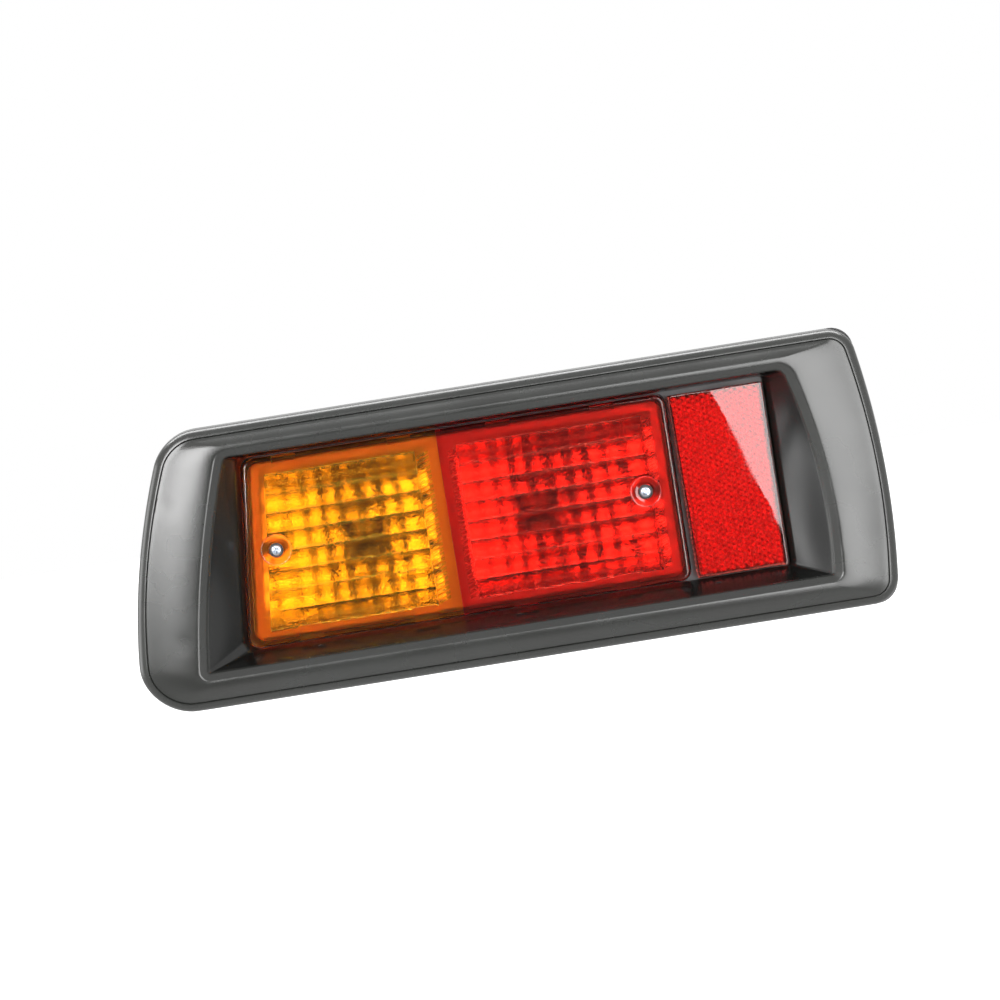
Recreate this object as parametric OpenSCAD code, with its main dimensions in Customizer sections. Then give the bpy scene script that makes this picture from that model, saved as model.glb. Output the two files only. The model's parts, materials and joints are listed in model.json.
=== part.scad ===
// Recessed rear lamp for a trailer: direction indicator, stop and tail lamp, and a reflex reflector,
// set in a moulded bezel that bolts over a cut-out in a body panel.
// X runs to the viewer's right, Z is up, the lenses face -Y, and Y = 0 is the face of the panel.

/* [Bezel outline] */
// Height of the bezel
bezel_h = 139; // [137:0.5:141]
// Reach of the upper left corner from the middle
reach_top_left = 160.9; // [160:0.1:162]
// Reach of the lower left corner from the middle, before it is rounded
reach_low_left = 191.8; // [191:0.1:193]
// Reach of the upper right corner from the middle
reach_top_right = 181.3; // [180:0.1:182]
// Reach of the lower right corner from the middle
reach_low_right = 187.1; // [186:0.1:188]
// How far the left side bows out
bow_left = 7.3; // [6:0.1:8]
// How far the right side bows out
bow_right = 5.9; // [5:0.1:7]
// Thickness of the bezel moulding
bezel_wall = 2.5; // [2:0.1:2.6]
// How far the lip of the recess stands in front of the panel
lip_front = 16; // [15:0.5:17]

/* [Recess] */
// Top of the recess lip above the middle
recess_top = 56.1; // [55:0.1:57]
// Bottom of the recess lip below the middle
recess_bottom = 53.6; // [53:0.1:55]
// Width of the bevel inside the lip
bevel_w = 2.9; // [2:0.1:3.2]
// How far behind the panel face the window of the bezel lies
window_back = 6.5; // [6:0.5:7]

/* [Lenses] */
// Top edge of the lenses
lens_top = 50; // [49:0.1:50.5]
// Bottom edge of the lenses
lens_bottom = -43.4; // [-44:0.1:-43]
// Left end of the amber lens at its top edge
amber_left_top = -124.5; // [-125:0.1:-124]
// Left end of the amber lens at its bottom edge
amber_left_bottom = -135.4; // [-136:0.1:-135]
// Seam between the amber lens and the red lens
seam_x = -27.3; // [-28:0.1:-26]
// Right end of the red lens
red_right = 87.4; // [87:0.1:88]
// Thickness of the front wall of a lens
lens_wall = 2.5; // [2:0.1:3]
// Thickness of the skirt round a lens
lens_skirt = 2; // [1.6:0.1:2.2]

/* [Reflex reflector] */
// Left edge of the reflex reflector at its top
reflex_left_top = 88.9; // [88.8:0.1:90]
// Left edge of the reflex reflector at its bottom
reflex_left_bottom = 90.6; // [90:0.1:91]
// Right edge of the reflex reflector
reflex_right = 136.4; // [135:0.1:136.6]

/* [Lamps] */
// Centre of the amber bulb across the lamp
amber_bulb_x = -71; // [-74:0.5:-69]
// Centre of the stop and tail bulb across the lamp
stop_bulb_x = 18; // [16:0.5:22]
// Height of both bulbs and of the lens screws
lamp_z = 3.3; // [2:0.1:4]
// Radius of a bulb's glass
glass_r = 12.5; // [12:0.1:12.7]
// Depth of the reflectors at the bulbs
reflector_back = 34; // [32:0.5:35]
// Inside face of the housing's rear wall
floor_y = 46; // [45.5:0.5:46]

/* [Fastening] */
// Spacing of the mounting studs across the lamp
stud_spacing_x = 328; // [327:0.5:329]
// Spacing of the mounting studs up the lamp
stud_spacing_z = 68; // [64:1:70]
// Radius of a mounting stud
stud_r = 2.5; // [2.5:0.1:2.6]
// How far the studs stand out behind the panel face
stud_reach = 22; // [18:1:26]

/* [Moving parts] */
// Turn that frees a bulb holder from the housing
holder_turn = 35; // [33:1:37]
// Travel of a bulb against its contact spring
bulb_travel = 1.5; // [1:0.1:1.5]

/* [Hidden] */
$fn = 48;
slip = 0.1;            // clearance where one piece rests on or slides in another

// Depths, front to back
foot_y = -2;           // rear edge of the bezel, on its gasket
lens_y = 2;            // front face of the lenses
flange_y = 8;          // front face of the housing flange
flange_t = 2.5;
ledge_y = 14;          // ledge that carries the lens gaskets and the reflectors
gasket_t = 1.4;
skirt_end_y = ledge_y - gasket_t - slip;
back_y = floor_y + 2.5;

// Outlines in the plane of the panel: corners run lower left, lower right, upper right, upper left
half_h = bezel_h / 2;
outer_quad = [[-reach_low_left, -half_h], [reach_low_right, -half_h],
              [reach_top_right, half_h], [-reach_top_left, half_h]];
outer_r = [22, 12, 12, 20];
outer_bow = [bow_left, bow_right];
lip_quad = [[-159.8, -recess_bottom], [159.4, -recess_bottom],
            [148.4, recess_top], [-134, recess_top]];
lip_r = [4, 4, 7, 6];
lip_bow = [3.3, 5.4];
amber_quad = [[amber_left_bottom, lens_bottom], [seam_x - 0.15, lens_bottom],
              [seam_x - 0.15, lens_top], [amber_left_top, lens_top]];
red_quad = [[seam_x + 0.15, lens_bottom], [red_right, lens_bottom],
            [red_right, lens_top], [seam_x + 0.15, lens_top]];
pair_quad = [amber_quad[0], red_quad[1], red_quad[2], amber_quad[3]];
pair_r = [5, 5, 5, 5];
window_quad = [[amber_left_bottom - 1, lens_bottom - 1], [reflex_right + 1, lens_bottom - 1],
               [reflex_right + 1, lens_top + 1], [amber_left_top - 1, lens_top + 1]];
window_r = [6, 2, 2, 6];
reflex_quad = [[reflex_left_bottom, lens_bottom - 0.3], [reflex_right, lens_bottom - 0.3],
               [reflex_right, lens_top - 1.4], [reflex_left_top, lens_top - 1.4]];
reflex_r = [1, 1, 1, 1];

// Places
amber_screw = [-114.6, lamp_z];
red_screw = [71.4, lamp_z];
studs = [for (x = [-1, 1], z = [-1, 1]) [x * stud_spacing_x / 2, z * stud_spacing_z / 2]];
land_w = 9.8;          // width of the land round the window that the housing screws to
land_screw_inset = 5.8;
housing_screw_places = [for (x = [-100, 0, 100], z = [lens_bottom - 1 - land_screw_inset,
                                                    lens_top + 1 + land_screw_inset]) [x, z]];
reflector_screw_places = [[-104, -20], [-42, 28], [-12, -22], [60, 28]];
breather_places = [[-106, 32], [66, -22]];
reflector_slots = [31, 15, -8, -23];

// Sizes of small parts
housing_screw_r = 1.75;
lens_screw_r = 1.95;
reflector_screw_r = 1.4;
pilot_end_y = 34;
boss_r = 3.8;
stud_boss_r = 4.8;
stud_grip_r = stud_r + 0.5;   // part of a stud that is moulded into its boss
post_r = 4;
reflector_t = 1.5;
base_r = 7.5;
neck_r = 6.9;
glass_front = 14;
glass_centre = glass_front + glass_r;
base_front = 40.5;
base_back = 57.5;
tip_back = 59;
pin_r = 1;
pin_reach = 8.8;
shell_r = 8.4;
shell_t = 0.6;
shell_front = 44;
shell_back = 62;
sleeve_r = 14.6;
sleeve_front = 43.5;
hole_r = sleeve_r + 0.4;
tab_r = 17.6;
tab_arc = 22;
holder_flange_y = 50.5;
holder_flange_r = 21;
pocket_r = 6.6;
pocket_back = 64;
shroud_y = 67;
shroud_end = 84;
plate_front = tip_back + slip;
plate_back = plate_front + 1.2;
blade_end = 77;
blade_pitch = 7.5;

// Outline geometry
function unit(v) = v / norm(v);
function inset(q, d) = [for (i = [0:3])
    let (u = unit(q[(i + 3) % 4] - q[i]), w = unit(q[(i + 1) % 4] - q[i]))
    q[i] + (u + w) * d / sqrt(1 - (u * w) ^ 2)];
function turn(a, b) = let (d = b - a) d > 180 ? d - 360 : d < -180 ? d + 360 : d;
function corner(q, i, r, n) =
    let (u = unit(q[(i + 3) % 4] - q[i]), w = unit(q[(i + 1) % 4] - q[i]),
         half = acos(u * w) / 2,
         c = q[i] + unit(u + w) * r / sin(half),
         s = q[i] + u * r / tan(half) - c,
         e = q[i] + w * r / tan(half) - c,
         a = atan2(s[1], s[0]),
         d = turn(a, atan2(e[1], e[0])))
    [for (k = [0:n]) c + r * [cos(a + d * k / n), sin(a + d * k / n)]];
function shrink(radii, d) = [for (r = radii) max(r - d, 0.6)];
function rounded(q, radii, d = 0, n = 6) =
    let (p = inset(q, d), r = shrink(radii, d)) [for (i = [0:3]) each corner(p, i, r[i], n)];

// A ring has the same number of points whatever its corners, so rings can be joined and mixed
arc_steps = 8;
side_steps = 8;
function bowed(p, q, bow) =
    let (low = q[0][1], high = q[2][1], s = (2 * p[1] - low - high) / (high - low))
    p + [(p[0] < 0 ? -bow[0] : bow[1]) * (1 - s * s), 0];
function ring(q, radii, bow = [0, 0], d = 0) =
    let (p = inset(q, d), r = shrink(radii, d),
         arcs = [for (i = [0:3]) corner(p, i, r[i], arc_steps)])
    [for (i = [0:3]) each concat(
        [for (v = arcs[i]) bowed(v, p, bow)],
        [for (k = [1:side_steps - 1])
            bowed(arcs[i][arc_steps] + (arcs[(i + 1) % 4][0] - arcs[i][arc_steps]) * k / side_steps,
                  p, bow)])];
function mix(a, b, s) = a * (1 - s) + b * s;
function at_depth(outline, y) = [for (p = outline) [p[0], y, p[1]]];

// Closed loft through a loop of rings, each joined to the next and the last to the first
module loft(rings) {
    n = len(rings[0]);
    m = len(rings);
    polyhedron(
        points = [for (loop = rings) each loop],
        faces = [for (j = [0:m - 1], i = [0:n - 1])
            let (a = j * n + i, b = j * n + (i + 1) % n,
                 c = ((j + 1) % m) * n + i, d = ((j + 1) % m) * n + (i + 1) % n)
            each [[a, d, b], [a, c, d]]],
        convexity = 10);
}

// Plate of an outline between two depths
module slab(outline, y0, y1) {
    translate([0, y1, 0]) rotate([90, 0, 0]) linear_extrude(y1 - y0) polygon(outline);
}

module frame_slab(q, radii, d_out, d_in, y0, y1) {
    difference() {
        slab(rounded(q, radii, d_out), y0, y1);
        slab(rounded(q, radii, d_in), y0 - 1, y1 + 1);
    }
}

// Round bar along Y
module rod(place, r, y0, y1) {
    translate([place[0], y1, place[1]]) rotate([90, 0, 0]) cylinder(r = r, h = y1 - y0);
}

// Solid of revolution about a line along Y; the profile's points are [radius, depth]
module turned(place, profile) {
    translate([place[0], 0, place[1]]) rotate([-90, 0, 0]) rotate_extrude() polygon(profile);
}

module tube(place, r_out, r_in, y0, y1) {
    turned(place, [[r_in, y0], [r_out, y0], [r_out, y1], [r_in, y1]]);
}

// Box turned about a line along Y, reaching out from radius r0 to r1
module spoke(place, angle, width, r0, r1, y0, y1) {
    translate([place[0], 0, place[1]]) rotate([0, -angle, 0])
        translate([r0, y0, -width / 2]) cube([r1 - r0, y1 - y0, width]);
}

// Wedge of a round plate, its middle at the given angle
module sector(place, angle, arc, r, y0, y1) {
    points = concat([[0, 0]], [for (k = [-3:3]) 1.05 * r * [cos(angle + arc * k / 6),
                                                           sin(angle + arc * k / 6)]]);
    intersection() {
        rod(place, r, y0, y1);
        slab([for (p = points) p + place], y0 - 1, y1 + 1);
    }
}

// ---- Bezel ----

roll_r = 5;            // round-over at the rim
roll_y = -7;
draft = 0.4;
crease_d = 5.4;        // inset of the crease line inside the rim
crease_y = -12.1;
roll_w = 1.8;          // width of the rolled edge outside the bevel
bevel_drop = 3;
outer_at = function(d) ring(outer_quad, outer_r, outer_bow, d);
lip_at = function(d) ring(lip_quad, lip_r, lip_bow, d);
window_at = function(d) ring(window_quad, window_r, [0, 0], d);
crown = function(s) crease_y - (lip_front + crease_y) * sin(90 * s);

module bezel_shell() {
    front = concat(
        [at_depth(outer_at(0), foot_y)],
        [for (t = [0, 25, 50, 72])
            at_depth(outer_at(draft + roll_r * (1 - cos(t))), roll_y - roll_r * sin(t))],
        [at_depth(outer_at(crease_d - 0.5), crease_y + 0.5)],
        [for (s = [0, 0.3, 0.65, 1])
            at_depth(mix(outer_at(crease_d), lip_at(-roll_w), s), crown(s))],
        [at_depth(lip_at(-roll_w / 3), 0.2 - lip_front), at_depth(lip_at(0.2), 0.9 - lip_front)],
        [at_depth(lip_at(bevel_w), bevel_drop - lip_front)],
        [at_depth(mix(lip_at(bevel_w + 0.3), window_at(0), 0.45), -5)],
        [at_depth(window_at(0), window_back)]);
    back = [
        at_depth(window_at(-land_w), window_back),
        at_depth(window_at(-land_w), window_back - bezel_wall),
        at_depth(window_at(-bezel_wall), window_back - bezel_wall),
        at_depth(mix(lip_at(bevel_w + 0.3), window_at(0), 0.45)
                 + (window_at(-bezel_wall) - window_at(0)), -4),
        at_depth(lip_at(bevel_w - bezel_wall - 0.2), 5 - lip_front),
        at_depth(lip_at(-0.8), bezel_wall + 0.2 - lip_front),
        at_depth(mix(outer_at(crease_d), lip_at(0), 0.4), crown(0.4) + bezel_wall),
        at_depth(outer_at(crease_d + 0.8), crease_y + bezel_wall),
        at_depth(outer_at(draft + bezel_wall), roll_y + 0.6),
        at_depth(outer_at(bezel_wall), foot_y)
    ];
    loft(concat(front, back));
}

module bezel() {
    color("dimgray") difference() {
        union() {
            bezel_shell();
            // The upper left boss is shorter, because it stands under the crease line
            for (p = studs) rod(p, stud_boss_r, (p[0] < 0 && p[1] > 0 ? 4.1 : 3.4) - lip_front, -0.5);
            for (p = housing_screw_places) rod(p, boss_r, -2, window_back - 1);
        }
        for (p = studs) {
            rod(p, stud_grip_r, -9, 1);
            rod(p, stud_r + 1.2, -11, -8.5);
        }
        for (p = housing_screw_places) rod(p, housing_screw_r, -1, window_back + 1);
    }
}

module bezel_gasket() {
    gasket_r = [22, 9.5, 9, 20];
    color("black") difference() {
        slab(ring(outer_quad, gasket_r, outer_bow, 0), foot_y, 0);
        slab(ring(outer_quad, gasket_r, outer_bow, 5), foot_y - 1, 1);
    }
}

module mounting_studs() {
    color("silver") for (p = studs) {
        rod(p, stud_r + 1.2, -11, -8.5);
        rod(p, stud_grip_r, -9, -0.5);
        rod(p, stud_r, -0.6, stud_reach - 1);
        turned(p, [[0, stud_reach - 1.5], [stud_r, stud_reach - 1.5],
                   [stud_r, stud_reach - 1], [stud_r - 0.8, stud_reach], [0, stud_reach]]);
    }
}

// ---- Housing ----

module chamber_walls(q) {
    frame_slab(q, [6, 6, 6, 6], 3.1, 5.6, ledge_y, back_y);
    slab(rounded(q, [6, 6, 6, 6], 4), floor_y, back_y);
}

module holder_hole(x) {
    rod([x, lamp_z], hole_r, floor_y - 1, back_y + 1);
    for (k = [0:2])
        sector([x, lamp_z], 90 + 120 * k - holder_turn, tab_arc + 5, tab_r + 0.5,
               floor_y - 1, back_y + 1);
}

module housing() {
    color("black") difference() {
        union() {
            difference() {
                slab(rounded(window_quad, window_r, -land_w), flange_y, flange_y + flange_t);
                slab(rounded(pair_quad, pair_r, -1), flange_y - 1, flange_y + flange_t + 1);
            }
            frame_slab(pair_quad, pair_r, -3, -1, flange_y, ledge_y + flange_t);
            difference() {
                slab(rounded(pair_quad, pair_r, -2), ledge_y, ledge_y + flange_t);
                slab(rounded(amber_quad, [6, 6, 6, 6], 4.5), ledge_y - 1, ledge_y + 4);
                slab(rounded(red_quad, [6, 6, 6, 6], 4.5), ledge_y - 1, ledge_y + 4);
            }
            chamber_walls(amber_quad);
            chamber_walls(red_quad);
            for (p = [amber_screw, red_screw]) rod(p, post_r, skirt_end_y - 0.5, floor_y + 1);
            for (p = breather_places) rod(p, 3, floor_y + 1, back_y + 6);
        }
        for (x = [amber_bulb_x, stop_bulb_x]) holder_hole(x);
        for (p = [amber_screw, red_screw]) rod(p, lens_screw_r + slip, skirt_end_y - 2, pilot_end_y);
        for (p = reflector_screw_places) rod(p, reflector_screw_r + 0.3, floor_y - 1, back_y + 1);
        for (p = breather_places) rod(p, 1.6, floor_y - 1, back_y + 7);
        for (p = housing_screw_places) rod(p, housing_screw_r + 0.25, flange_y - 1, flange_y + 4);
    }
}

module housing_gasket() {
    color("black") difference() {
        frame_slab(window_quad, window_r, -land_w + 0.5, -1.5, window_back, flange_y);
        for (p = housing_screw_places) rod(p, housing_screw_r + 0.4, window_back - 1, flange_y + 1);
    }
}

// Pan-head screw that points forward; its head sits behind head_y
module rear_screw(place, r, head_r, tip_y, head_y) {
    difference() {
        turned(place, [[0, tip_y], [0.3 * r, tip_y], [r, tip_y + 1.5 * r], [r, head_y], [head_r, head_y],
                       [head_r, head_y + 0.9], [0.7 * head_r, head_y + 2], [0, head_y + 2.2]]);
        for (a = [0, 90]) translate([place[0], head_y + 1.2, place[1]]) rotate([0, a, 0])
            translate([-0.6 * head_r, 0, -0.3]) cube([1.2 * head_r, 2, 0.6]);
    }
}

module housing_screws() {
    color("silver") for (p = housing_screw_places)
        rear_screw(p, housing_screw_r, 3.4, -0.8, flange_y + flange_t);
}

module reflector_screws() {
    color("silver") for (p = reflector_screw_places)
        rear_screw(p, reflector_screw_r, 2.8, 40.5, back_y);
}

module breather_caps() {
    color("black") for (p = breather_places)
        difference() {
            turned(p, [[0, back_y + 3.5], [4.6, back_y + 1], [5.2, back_y + 1], [5.2, back_y + 7],
                       [4.2, back_y + 8.5], [0, back_y + 8.5]]);
            rod(p, 3 + 0.02, back_y - 1, back_y + 6.2);
        }
}

// ---- Lens ----

// The lens is one moulding in two colours that meet at the seam, held by a screw near each end
seam_rib = 2.2;

// Everything on one side of the seam: -1 is the amber side, 1 the red side
module beside_seam(side, gap = 0) {
    translate([side < 0 ? seam_x - 200 : seam_x + gap, -50, -100]) cube([200 - gap, 150, 200]);
}

// Front wall, skirt, locating tabs inside the skirt and a stepped boss for the screw
module lens(side, screw, tab_places) {
    difference() {
        intersection() {
            union() {
                slab(rounded(pair_quad, pair_r), lens_y, lens_y + lens_wall);
                frame_slab(pair_quad, pair_r, 0, lens_skirt, lens_y + 1, skirt_end_y);
                for (x = tab_places, z = [lens_bottom + lens_skirt - 0.5, lens_top - lens_skirt - 1.5])
                    translate([x - 6, lens_y + 1, z]) cube([12, skirt_end_y - lens_y - 2, 2]);
                rod(screw, 7, lens_y + 1, lens_y + 4);
                rod(screw, 4.4, lens_y + 1, skirt_end_y - 0.8);
            }
            beside_seam(side);
        }
        rod(screw, lens_screw_r + 0.35, lens_y - 1, skirt_end_y + 1);
        rod(screw, 3.7, lens_y - 1, lens_y + 1.2);
    }
}

module amber_lens() {
    color("orange") lens(-1, amber_screw, [-104, -46]);
}

// The red half has a rib along the seam that keeps the two lights apart
module red_lens() {
    color("red") {
        lens(1, red_screw, [4, 56]);
        translate([seam_x, lens_y + 1, lens_bottom + 1])
            cube([seam_rib, skirt_end_y - lens_y - 2, lens_top - lens_bottom - 2]);
    }
}

module lens_gasket() {
    color("black") frame_slab(pair_quad, pair_r, 0.3, 3.3, ledge_y - gasket_t, ledge_y);
}

// Pan-head screws that point backward, with their heads in the counterbores of the lens
module lens_screws() {
    seat = lens_y + 0.6;
    color("silver") for (p = [amber_screw, red_screw]) difference() {
        turned(p, [[0, seat - 2], [1.6, seat - 1.9], [2.5, seat - 1.3], [2.8, seat - 0.5], [2.8, seat],
                   [lens_screw_r, seat], [lens_screw_r, 27], [0.5, 30], [0, 30]]);
        for (a = [45, 135]) translate([p[0], seat - 3, p[1]]) rotate([0, a, 0])
            translate([-1.6, 0, -0.35]) cube([3.2, 2.3, 0.7]);
    }
}

module lens_screw_seals() {
    color("black") for (p = [amber_screw, red_screw]) tube(p, 3.6, lens_screw_r, lens_y + 0.6, lens_y + 1.2);
}

// ---- Reflectors ----

flute_w = 8;
flute_ridge = 0.8;
band_step = 4;         // the upper and lower bands lie this much nearer the lens
cup_d = 6;             // inset of the cup's outside from the lens outline
main_band = [-27, 34];

function trough_y(x, x_bulb, reach) = reflector_back - 18 * ((x - x_bulb) / reach) ^ 2;

// Everything in front of the fluted trough, shifted back by y_shift
module before_trough(x_bulb, reach, y_shift, z0, z1) {
    count = floor(2 * reach / flute_w);
    translate([0, y_shift, z0]) linear_extrude(z1 - z0) polygon(concat(
        [[x_bulb + reach, -20], [x_bulb - reach, -20]],
        [for (k = [0:2 * count])
            let (x = x_bulb + (k / count - 1) * reach)
            [x, trough_y(x, x_bulb, reach) - (k % 2) * flute_ridge]]));
}

module before_reflector(x_bulb, reach, y_shift) {
    before_trough(x_bulb, reach, y_shift, main_band[0], main_band[1]);
    before_trough(x_bulb, reach, y_shift - band_step, lens_bottom, main_band[0] + 0.01);
    before_trough(x_bulb, reach, y_shift - band_step, main_band[1] - 0.01, lens_top);
}

module reflector(side, q, x_bulb, reach, screw, slot_x, posts) {
    round_r = [6, 6, 6, 6];
    rim_y = ledge_y - gasket_t;
    difference() {
        union() {
            intersection() {
                slab(rounded(pair_quad, round_r, 3.9), rim_y, ledge_y);
                beside_seam(side, slip);
            }
            intersection() {
                slab(rounded(q, round_r, cup_d), rim_y, floor_y - 5);
                before_reflector(x_bulb, reach, reflector_t);
            }
            for (p = posts)
                rod(p, 3, trough_y(p[0], x_bulb, reach) - 0.5, floor_y - 0.3);
        }
        intersection() {
            slab(rounded(q, round_r, cup_d + reflector_t), rim_y - 1, floor_y);
            before_reflector(x_bulb, reach, 0);
        }
        rod([x_bulb, lamp_z], glass_r + 1.1, rim_y - 1, floor_y);
        rod(screw, post_r + 0.6, rim_y - 1, floor_y);
        for (z = reflector_slots)
            translate([slot_x, rim_y + 2, z]) cube([5.5, floor_y - rim_y, 3]);
        for (p = posts) rod(p, reflector_screw_r, 40, floor_y);
    }
}

module amber_reflector() {
    color("gainsboro") reflector(-1, amber_quad, amber_bulb_x, 62, amber_screw, -41,
                                 [reflector_screw_places[0], reflector_screw_places[1]]);
}

module red_reflector() {
    color("gainsboro") reflector(1, red_quad, stop_bulb_x, 66, red_screw, 60,
                                 [reflector_screw_places[2], reflector_screw_places[3]]);
}

// ---- Reflex reflector ----

module reflex_lens() {
    color("crimson") {
        slab(rounded(reflex_quad, reflex_r), lens_y, lens_y + lens_wall);
        frame_slab(reflex_quad, reflex_r, 0, 1.5, lens_y + lens_wall - 0.5, flange_y - 1);
    }
}

module reflex_backing() {
    color("darkred") slab(rounded(reflex_quad, reflex_r, 1.5), flange_y - 2.5, flange_y - 1);
}

module reflex_pad() {
    color("dimgray") slab(rounded(reflex_quad, reflex_r, 3), flange_y - 1, flange_y);
}

// ---- Bulbs ----

module bulb_glass(x) {
    t = 0.8;
    steps = 12;
    last = 125;
    outer = [for (k = [0:steps]) [glass_r * sin(last * k / steps),
                                  glass_centre - glass_r * cos(last * k / steps)]];
    inner = [for (k = [steps:-1:0]) [(glass_r - t) * sin(last * k / steps),
                                     glass_centre - (glass_r - t) * cos(last * k / steps)]];
    neck_y = base_front + 4;
    color([0.9, 0.95, 1, 0.5]) turned([x, lamp_z], concat(
        outer, [[neck_r, base_front - 1.5], [neck_r, neck_y], [neck_r - t, neck_y],
                [neck_r - t, base_front - 1.5]], inner));
}

module bulb_base(x, pins) {
    color("goldenrod") {
        tube([x, lamp_z], base_r, base_r - 0.5, base_front, base_back);
        for (p = pins) spoke_pin([x, lamp_z], p[0], p[1]);
    }
}

module spoke_pin(place, angle, y) {
    translate([place[0], y, place[1]]) rotate([0, 90 - angle, 0])
        translate([0, 0, base_r - 0.3]) cylinder(r = pin_r, h = pin_reach - base_r + 0.3, $fn = 24);
}

amber_pins = [[0, 52], [180, 52]];
stop_pins = [[0, 52], [180, 55]];

// Glass stem with lead wires and a coiled filament across the bulb at each given depth
module filament(x, depths) {
    color("silver") {
        rod([x, lamp_z], 2.6, 33, base_front + 3);
        for (y = depths) {
            for (s = [-1, 1]) {
                translate([x + s * 3.2, 0, lamp_z]) rod([0, 0], 0.35, y - 0.3, base_front + 2.5);
            }
            translate([x - 3.4, y, lamp_z]) rotate([0, 90, 0]) cylinder(r = 0.6, h = 6.8);
        }
        translate([x - 3.4, base_front + 1.5, lamp_z - 1]) cube([6.8, 1, 2]);
    }
}

// Insulating disc in the end of the base with a solder contact at each place
module bulb_tip(x, places) {
    color("gray") {
        rod([x, lamp_z], base_r - 0.5, base_back - 2, base_back);
        for (dx = places) rod([x + dx, lamp_z], 1.8, base_back - 1, tip_back);
    }
}

module amber_bulb_glass() {
    bulb_glass(amber_bulb_x);
}

module amber_bulb_base() {
    bulb_base(amber_bulb_x, amber_pins);
}

module amber_bulb_filament() {
    filament(amber_bulb_x, [25]);
}

module amber_bulb_tip() {
    bulb_tip(amber_bulb_x, [0]);
}

module stop_bulb_glass() {
    bulb_glass(stop_bulb_x);
}

module stop_bulb_base() {
    bulb_base(stop_bulb_x, stop_pins);
}

module stop_bulb_filaments() {
    filament(stop_bulb_x, [22.5, 27]);
}

module stop_bulb_tips() {
    bulb_tip(stop_bulb_x, [-2.8, 2.8]);
}

// ---- Bulb holders ----

// Twist-lock holder with a connector inlet for blades spread over blade_span
module holder(x, blade_span, blades) {
    place = [x, lamp_z];
    inlet_w = blade_span + 10;
    inlet_h = 11.5;
    wall = 1.5;
    color("dimgray") difference() {
        union() {
            turned(place, [[9.4, sleeve_front], [sleeve_r, sleeve_front], [sleeve_r, holder_flange_y],
                           [holder_flange_r, holder_flange_y], [holder_flange_r, holder_flange_y + 2.5],
                           [sleeve_r, holder_flange_y + 2.5], [sleeve_r, shroud_y], [0, shroud_y],
                           [0, pocket_back], [pocket_r, pocket_back], [pocket_r, shell_back],
                           [shell_r, shell_back], [shell_r, 58], [9.4, 58]]);
            for (k = [0:2]) difference() {
                sector(place, 90 + 120 * k, tab_arc, tab_r, sleeve_front, floor_y - 0.2);
                rod(place, sleeve_r - 0.5, sleeve_front - 1, floor_y + 1);
            }
            for (a = [0, 180]) spoke(place, a, 4, sleeve_r - 1, holder_flange_r, holder_flange_y + 1, 62);
            translate([x - inlet_w / 2 - wall, shroud_y - 1, lamp_z - inlet_h / 2 - wall])
                cube([inlet_w + 2 * wall, shroud_end - shroud_y + 1, inlet_h + 2 * wall]);
            translate([x - 3, shroud_y + 6, lamp_z + inlet_h / 2 + wall - 0.5]) cube([6, 5, 2.2]);
        }
        translate([x - inlet_w / 2, shroud_y, lamp_z - inlet_h / 2])
            cube([inlet_w, shroud_end - shroud_y + 1, inlet_h]);
        for (dx = blades) translate([x + dx - 2.4, pocket_back - 1, lamp_z - 0.4])
            cube([4.8, shroud_y - pocket_back + 2, 0.8]);
    }
}

module holder_seal(x) {
    color("black") tube([x, lamp_z], 19.5, sleeve_r, back_y + slip, holder_flange_y);
}

// Metal cup with a bayonet slot for each pin: a way in, a cross lane and a seat
module socket_shell(x, pins) {
    place = [x, lamp_z];
    slot_w = 2 * pin_r + 0.5;
    lane_x = 3.4;
    color("silver") difference() {
        turned(place, [[shell_r - shell_t, shell_front], [shell_r, shell_front], [shell_r, shell_back],
                       [pocket_r, shell_back], [pocket_r, shell_back - shell_t],
                       [shell_r - shell_t, shell_back - shell_t]]);
        for (p = pins) {
            seat_y = p[1] - pin_r - 0.2;
            lane_y = p[1] + bulb_travel + pin_r + 0.3;
            translate([x, 0, lamp_z]) rotate([0, -p[0], 0]) translate([base_r - 2, 0, 0])
                rotate([0, 90, 0]) linear_extrude(4) polygon([
                    [-slot_w / 2, seat_y], [slot_w / 2, seat_y],
                    [slot_w / 2, lane_y - slot_w], [lane_x - slot_w / 2, lane_y - slot_w],
                    [lane_x - slot_w / 2, shell_front - 1], [lane_x + slot_w / 2, shell_front - 1],
                    [lane_x + slot_w / 2, lane_y], [-slot_w / 2, lane_y]]);
        }
    }
}

// Fibre plate carried by the spring, with a brass stud for each bulb contact
module contact_plate(x, places) {
    color("peru") {
        rod([x, lamp_z], pocket_r - 0.25, plate_front + 0.4, plate_back);
        for (dx = places) rod([x + dx, lamp_z], 1.9, plate_front, plate_front + 0.8);
    }
}

module contact_spring(x, places, r) {
    color("silver") for (dx = places)
        tube([x + dx, lamp_z], r, r - 0.7, plate_back, pocket_back);
}

module terminals(x, blades) {
    color("gold") for (dx = blades)
        translate([x + dx - 2.4, pocket_back, lamp_z - 0.4]) cube([4.8, blade_end - pocket_back, 0.8]);
}

amber_blades = [for (k = [-0.5, 0.5]) k * blade_pitch];
stop_blades = [for (k = [-1:1]) k * blade_pitch];

module amber_holder() {
    holder(amber_bulb_x, blade_pitch, amber_blades);
}

module stop_holder() {
    holder(stop_bulb_x, 2 * blade_pitch, stop_blades);
}

module amber_holder_seal() {
    holder_seal(amber_bulb_x);
}

module stop_holder_seal() {
    holder_seal(stop_bulb_x);
}

module amber_socket_shell() {
    socket_shell(amber_bulb_x, amber_pins);
}

module stop_socket_shell() {
    socket_shell(stop_bulb_x, stop_pins);
}

module amber_contact_plate() {
    contact_plate(amber_bulb_x, [0]);
}

module stop_contact_plate() {
    contact_plate(stop_bulb_x, [-2.8, 2.8]);
}

module amber_contact_spring() {
    contact_spring(amber_bulb_x, [0], 4);
}

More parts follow.
